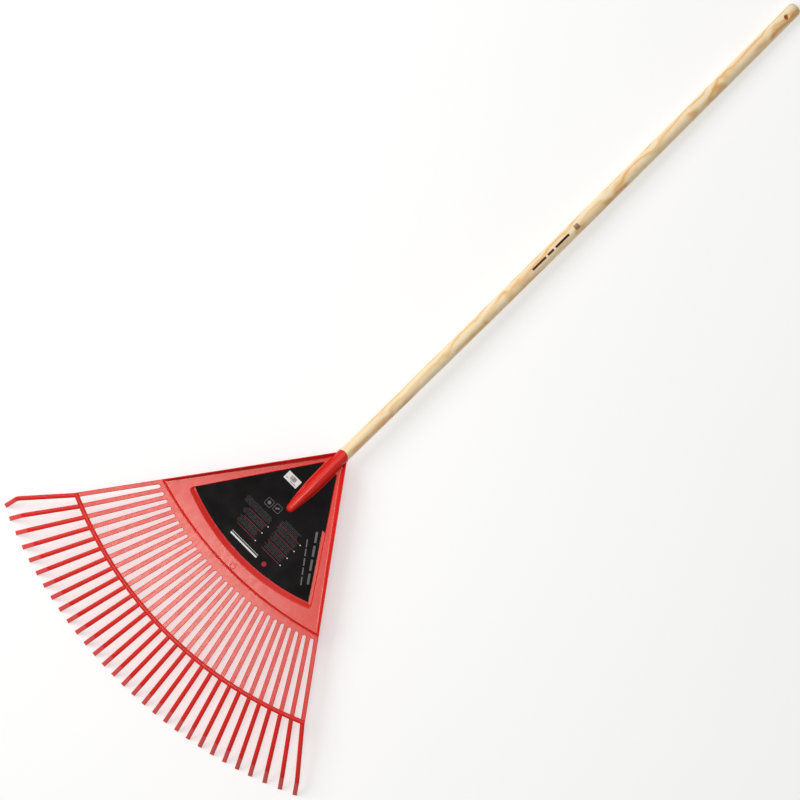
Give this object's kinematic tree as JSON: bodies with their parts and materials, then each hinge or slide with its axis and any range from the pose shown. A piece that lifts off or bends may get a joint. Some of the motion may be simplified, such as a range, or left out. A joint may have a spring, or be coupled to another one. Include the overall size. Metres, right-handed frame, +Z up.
{
  "type": "leaf rake",
  "caption": "Fan-shaped plastic leaf rake head with hooked spring tines, a crossbar and a recessed label, on a round wooden handle.",
  "frame": {"origin": "the middle of the area that the rake covers as it lies on level ground on its tips and the end of its handle, at ground level", "axes": "+Y along the handle, away from the tines; +Z up, the side that carries the label; +X to the right of someone who looks down on the rake along +Y"},
  "size_m": [0.756, 1.7482, 0.0517],
  "materials": {
    "red_plastic": "semi-gloss moulded polypropylene, coral where it faces the light",
    "handle_wood": "sanded pale softwood with pinkish-brown grain, thin clear varnish",
    "screw_steel": "zinc-plated, satin",
    "label_card": "black print, clear laminated",
    "sticker_paper": "matt white self-adhesive paper"
  },
  "bodies": {
    "head": {"blade": "red_plastic", "socket": "red_plastic", "handle": "handle_wood", "socket_screw": "screw_steel", "label": "label_card", "barcode_sticker": "sticker_paper"},
    "comb": {"crossbar": "red_plastic", "tine_pair_01": "red_plastic", "tine_pair_02": "red_plastic", "tine_pair_03": "red_plastic", "tine_pair_04": "red_plastic", "tine_pair_05": "red_plastic", "tine_pair_06": "red_plastic", "tine_pair_07": "red_plastic", "tine_pair_08": "red_plastic", "tine_pair_09": "red_plastic", "tine_pair_10": "red_plastic", "tine_pair_11": "red_plastic", "tine_pair_12": "red_plastic", "tine_pair_13": "red_plastic", "tine_pair_14": "red_plastic", "tine_pair_15": "red_plastic"},
    "tine_01": {"tine_tip_01": "red_plastic"},
    "tine_02": {"tine_tip_02": "red_plastic"},
    "tine_03": {"tine_tip_03": "red_plastic"},
    "tine_04": {"tine_tip_04": "red_plastic"},
    "tine_05": {"tine_tip_05": "red_plastic"},
    "tine_06": {"tine_tip_06": "red_plastic"},
    "tine_07": {"tine_tip_07": "red_plastic"},
    "tine_08": {"tine_tip_08": "red_plastic"},
    "tine_09": {"tine_tip_09": "red_plastic"},
    "tine_10": {"tine_tip_10": "red_plastic"},
    "tine_11": {"tine_tip_11": "red_plastic"},
    "tine_12": {"tine_tip_12": "red_plastic"},
    "tine_13": {"tine_tip_13": "red_plastic"},
    "tine_14": {"tine_tip_14": "red_plastic"},
    "tine_15": {"tine_tip_15": "red_plastic"},
    "tine_16": {"tine_tip_16": "red_plastic"},
    "tine_17": {"tine_tip_17": "red_plastic"},
    "tine_18": {"tine_tip_18": "red_plastic"},
    "tine_19": {"tine_tip_19": "red_plastic"},
    "tine_20": {"tine_tip_20": "red_plastic"},
    "tine_21": {"tine_tip_21": "red_plastic"},
    "tine_22": {"tine_tip_22": "red_plastic"},
    "tine_23": {"tine_tip_23": "red_plastic"},
    "tine_24": {"tine_tip_24": "red_plastic"},
    "tine_25": {"tine_tip_25": "red_plastic"},
    "tine_26": {"tine_tip_26": "red_plastic"},
    "tine_27": {"tine_tip_27": "red_plastic"},
    "tine_28": {"tine_tip_28": "red_plastic"},
    "tine_29": {"tine_tip_29": "red_plastic"},
    "tine_30": {"tine_tip_30": "red_plastic"}
  },
  "joints": [
    {"name": "comb_flex", "type": "hinge", "parent": "head", "child": "comb", "pos_m": [-0.0031, -0.58231, 0.03802], "axis": [-1, 0, 0], "range_deg": [-4, 5], "stiffness_Nm_per_rad": 36},
    {"name": "tine_01_flex", "type": "hinge", "parent": "comb", "child": "tine_01", "pos_m": [-0.29832, -0.68906, 0.04029], "axis": [-0.809, 0.5877, -0.0125], "range_deg": [-6, 10], "stiffness_Nm_per_rad": 1.8},
    {"name": "tine_02_flex", "type": "hinge", "parent": "comb", "child": "tine_02", "pos_m": [-0.27789, -0.69761, 0.04047], "axis": [-0.8337, 0.5521, -0.0118], "range_deg": [-6, 10], "stiffness_Nm_per_rad": 1.8},
    {"name": "tine_03_flex", "type": "hinge", "parent": "comb", "child": "tine_03", "pos_m": [-0.25745, -0.70546, 0.04064], "axis": [-0.8568, 0.5155, -0.011], "range_deg": [-6, 10], "stiffness_Nm_per_rad": 1.8},
    {"name": "tine_04_flex", "type": "hinge", "parent": "comb", "child": "tine_04", "pos_m": [-0.23702, -0.71262, 0.04079], "axis": [-0.8784, 0.4779, -0.0102], "range_deg": [-6, 10], "stiffness_Nm_per_rad": 1.8},
    {"name": "tine_05_flex", "type": "hinge", "parent": "comb", "child": "tine_05", "pos_m": [-0.2166, -0.71912, 0.04093], "axis": [-0.8982, 0.4394, -0.0094], "range_deg": [-6, 10], "stiffness_Nm_per_rad": 1.8},
    {"name": "tine_06_flex", "type": "hinge", "parent": "comb", "child": "tine_06", "pos_m": [-0.19619, -0.72497, 0.04105], "axis": [-0.9164, 0.4001, -0.0085], "range_deg": [-6, 10], "stiffness_Nm_per_rad": 1.8},
    {"name": "tine_07_flex", "type": "hinge", "parent": "comb", "child": "tine_07", "pos_m": [-0.17579, -0.73019, 0.04117], "axis": [-0.9329, 0.36, -0.0077], "range_deg": [-6, 10], "stiffness_Nm_per_rad": 1.8},
    {"name": "tine_08_flex", "type": "hinge", "parent": "comb", "child": "tine_08", "pos_m": [-0.15542, -0.73479, 0.04126], "axis": [-0.9476, 0.3193, -0.0068], "range_deg": [-6, 10], "stiffness_Nm_per_rad": 1.8},
    {"name": "tine_09_flex", "type": "hinge", "parent": "comb", "child": "tine_09", "pos_m": [-0.13506, -0.73878, 0.04135], "axis": [-0.9606, 0.2779, -0.0059], "range_deg": [-6, 10], "stiffness_Nm_per_rad": 1.8},
    {"name": "tine_10_flex", "type": "hinge", "parent": "comb", "child": "tine_10", "pos_m": [-0.11473, -0.74218, 0.04142], "axis": [-0.9717, 0.236, -0.005], "range_deg": [-6, 10], "stiffness_Nm_per_rad": 1.8},
    {"name": "tine_11_flex", "type": "hinge", "parent": "comb", "child": "tine_11", "pos_m": [-0.09441, -0.745, 0.04148], "axis": [-0.981, 0.1937, -0.0041], "range_deg": [-6, 10], "stiffness_Nm_per_rad": 1.8},
    {"name": "tine_12_flex", "type": "hinge", "parent": "comb", "child": "tine_12", "pos_m": [-0.0741, -0.74725, 0.04153], "axis": [-0.9885, 0.1511, -0.0032], "range_deg": [-6, 10], "stiffness_Nm_per_rad": 1.8},
    {"name": "tine_13_flex", "type": "hinge", "parent": "comb", "child": "tine_13", "pos_m": [-0.05381, -0.74893, 0.04156], "axis": [-0.9941, 0.1081, -0.0023], "range_deg": [-6, 10], "stiffness_Nm_per_rad": 1.8},
    {"name": "tine_14_flex", "type": "hinge", "parent": "comb", "child": "tine_14", "pos_m": [-0.03352, -0.75004, 0.04159], "axis": [-0.9979, 0.0649, -0.0014], "range_deg": [-6, 10], "stiffness_Nm_per_rad": 1.8},
    {"name": "tine_15_flex", "type": "hinge", "parent": "comb", "child": "tine_15", "pos_m": [-0.01324, -0.7506, 0.0416], "axis": [-0.9998, 0.0217, -0.0005], "range_deg": [-6, 10], "stiffness_Nm_per_rad": 1.8},
    {"name": "tine_16_flex", "type": "hinge", "parent": "comb", "child": "tine_16", "pos_m": [0.00703, -0.7506, 0.0416], "axis": [-0.9998, -0.0217, 0.0005], "range_deg": [-6, 10], "stiffness_Nm_per_rad": 1.8},
    {"name": "tine_17_flex", "type": "hinge", "parent": "comb", "child": "tine_17", "pos_m": [0.02731, -0.75004, 0.04159], "axis": [-0.9979, -0.0649, 0.0014], "range_deg": [-6, 10], "stiffness_Nm_per_rad": 1.8},
    {"name": "tine_18_flex", "type": "hinge", "parent": "comb", "child": "tine_18", "pos_m": [0.0476, -0.74893, 0.04156], "axis": [-0.9941, -0.1081, 0.0023], "range_deg": [-6, 10], "stiffness_Nm_per_rad": 1.8},
    {"name": "tine_19_flex", "type": "hinge", "parent": "comb", "child": "tine_19", "pos_m": [0.06789, -0.74725, 0.04153], "axis": [-0.9885, -0.1511, 0.0032], "range_deg": [-6, 10], "stiffness_Nm_per_rad": 1.8},
    {"name": "tine_20_flex", "type": "hinge", "parent": "comb", "child": "tine_20", "pos_m": [0.0882, -0.745, 0.04148], "axis": [-0.981, -0.1937, 0.0041], "range_deg": [-6, 10], "stiffness_Nm_per_rad": 1.8},
    {"name": "tine_21_flex", "type": "hinge", "parent": "comb", "child": "tine_21", "pos_m": [0.10852, -0.74218, 0.04142], "axis": [-0.9717, -0.236, 0.005], "range_deg": [-6, 10], "stiffness_Nm_per_rad": 1.8},
    {"name": "tine_22_flex", "type": "hinge", "parent": "comb", "child": "tine_22", "pos_m": [0.12886, -0.73878, 0.04135], "axis": [-0.9606, -0.2779, 0.0059], "range_deg": [-6, 10], "stiffness_Nm_per_rad": 1.8},
    {"name": "tine_23_flex", "type": "hinge", "parent": "comb", "child": "tine_23", "pos_m": [0.14921, -0.73479, 0.04126], "axis": [-0.9476, -0.3193, 0.0068], "range_deg": [-6, 10], "stiffness_Nm_per_rad": 1.8},
    {"name": "tine_24_flex", "type": "hinge", "parent": "comb", "child": "tine_24", "pos_m": [0.16959, -0.73019, 0.04117], "axis": [-0.9329, -0.36, 0.0077], "range_deg": [-6, 10], "stiffness_Nm_per_rad": 1.8},
    {"name": "tine_25_flex", "type": "hinge", "parent": "comb", "child": "tine_25", "pos_m": [0.18998, -0.72497, 0.04105], "axis": [-0.9164, -0.4001, 0.0085], "range_deg": [-6, 10], "stiffness_Nm_per_rad": 1.8},
    {"name": "tine_26_flex", "type": "hinge", "parent": "comb", "child": "tine_26", "pos_m": [0.21039, -0.71912, 0.04093], "axis": [-0.8982, -0.4394, 0.0094], "range_deg": [-6, 10], "stiffness_Nm_per_rad": 1.8},
    {"name": "tine_27_flex", "type": "hinge", "parent": "comb", "child": "tine_27", "pos_m": [0.23081, -0.71262, 0.04079], "axis": [-0.8784, -0.4779, 0.0102], "range_deg": [-6, 10], "stiffness_Nm_per_rad": 1.8},
    {"name": "tine_28_flex", "type": "hinge", "parent": "comb", "child": "tine_28", "pos_m": [0.25124, -0.70546, 0.04064], "axis": [-0.8568, -0.5155, 0.011], "range_deg": [-6, 10], "stiffness_Nm_per_rad": 1.8},
    {"name": "tine_29_flex", "type": "hinge", "parent": "comb", "child": "tine_29", "pos_m": [0.27168, -0.69761, 0.04047], "axis": [-0.8337, -0.5521, 0.0118], "range_deg": [-6, 10], "stiffness_Nm_per_rad": 1.8},
    {"name": "tine_30_flex", "type": "hinge", "parent": "comb", "child": "tine_30", "pos_m": [0.29211, -0.68906, 0.04029], "axis": [-0.809, -0.5877, 0.0125], "range_deg": [-6, 10], "stiffness_Nm_per_rad": 1.8}
  ]
}
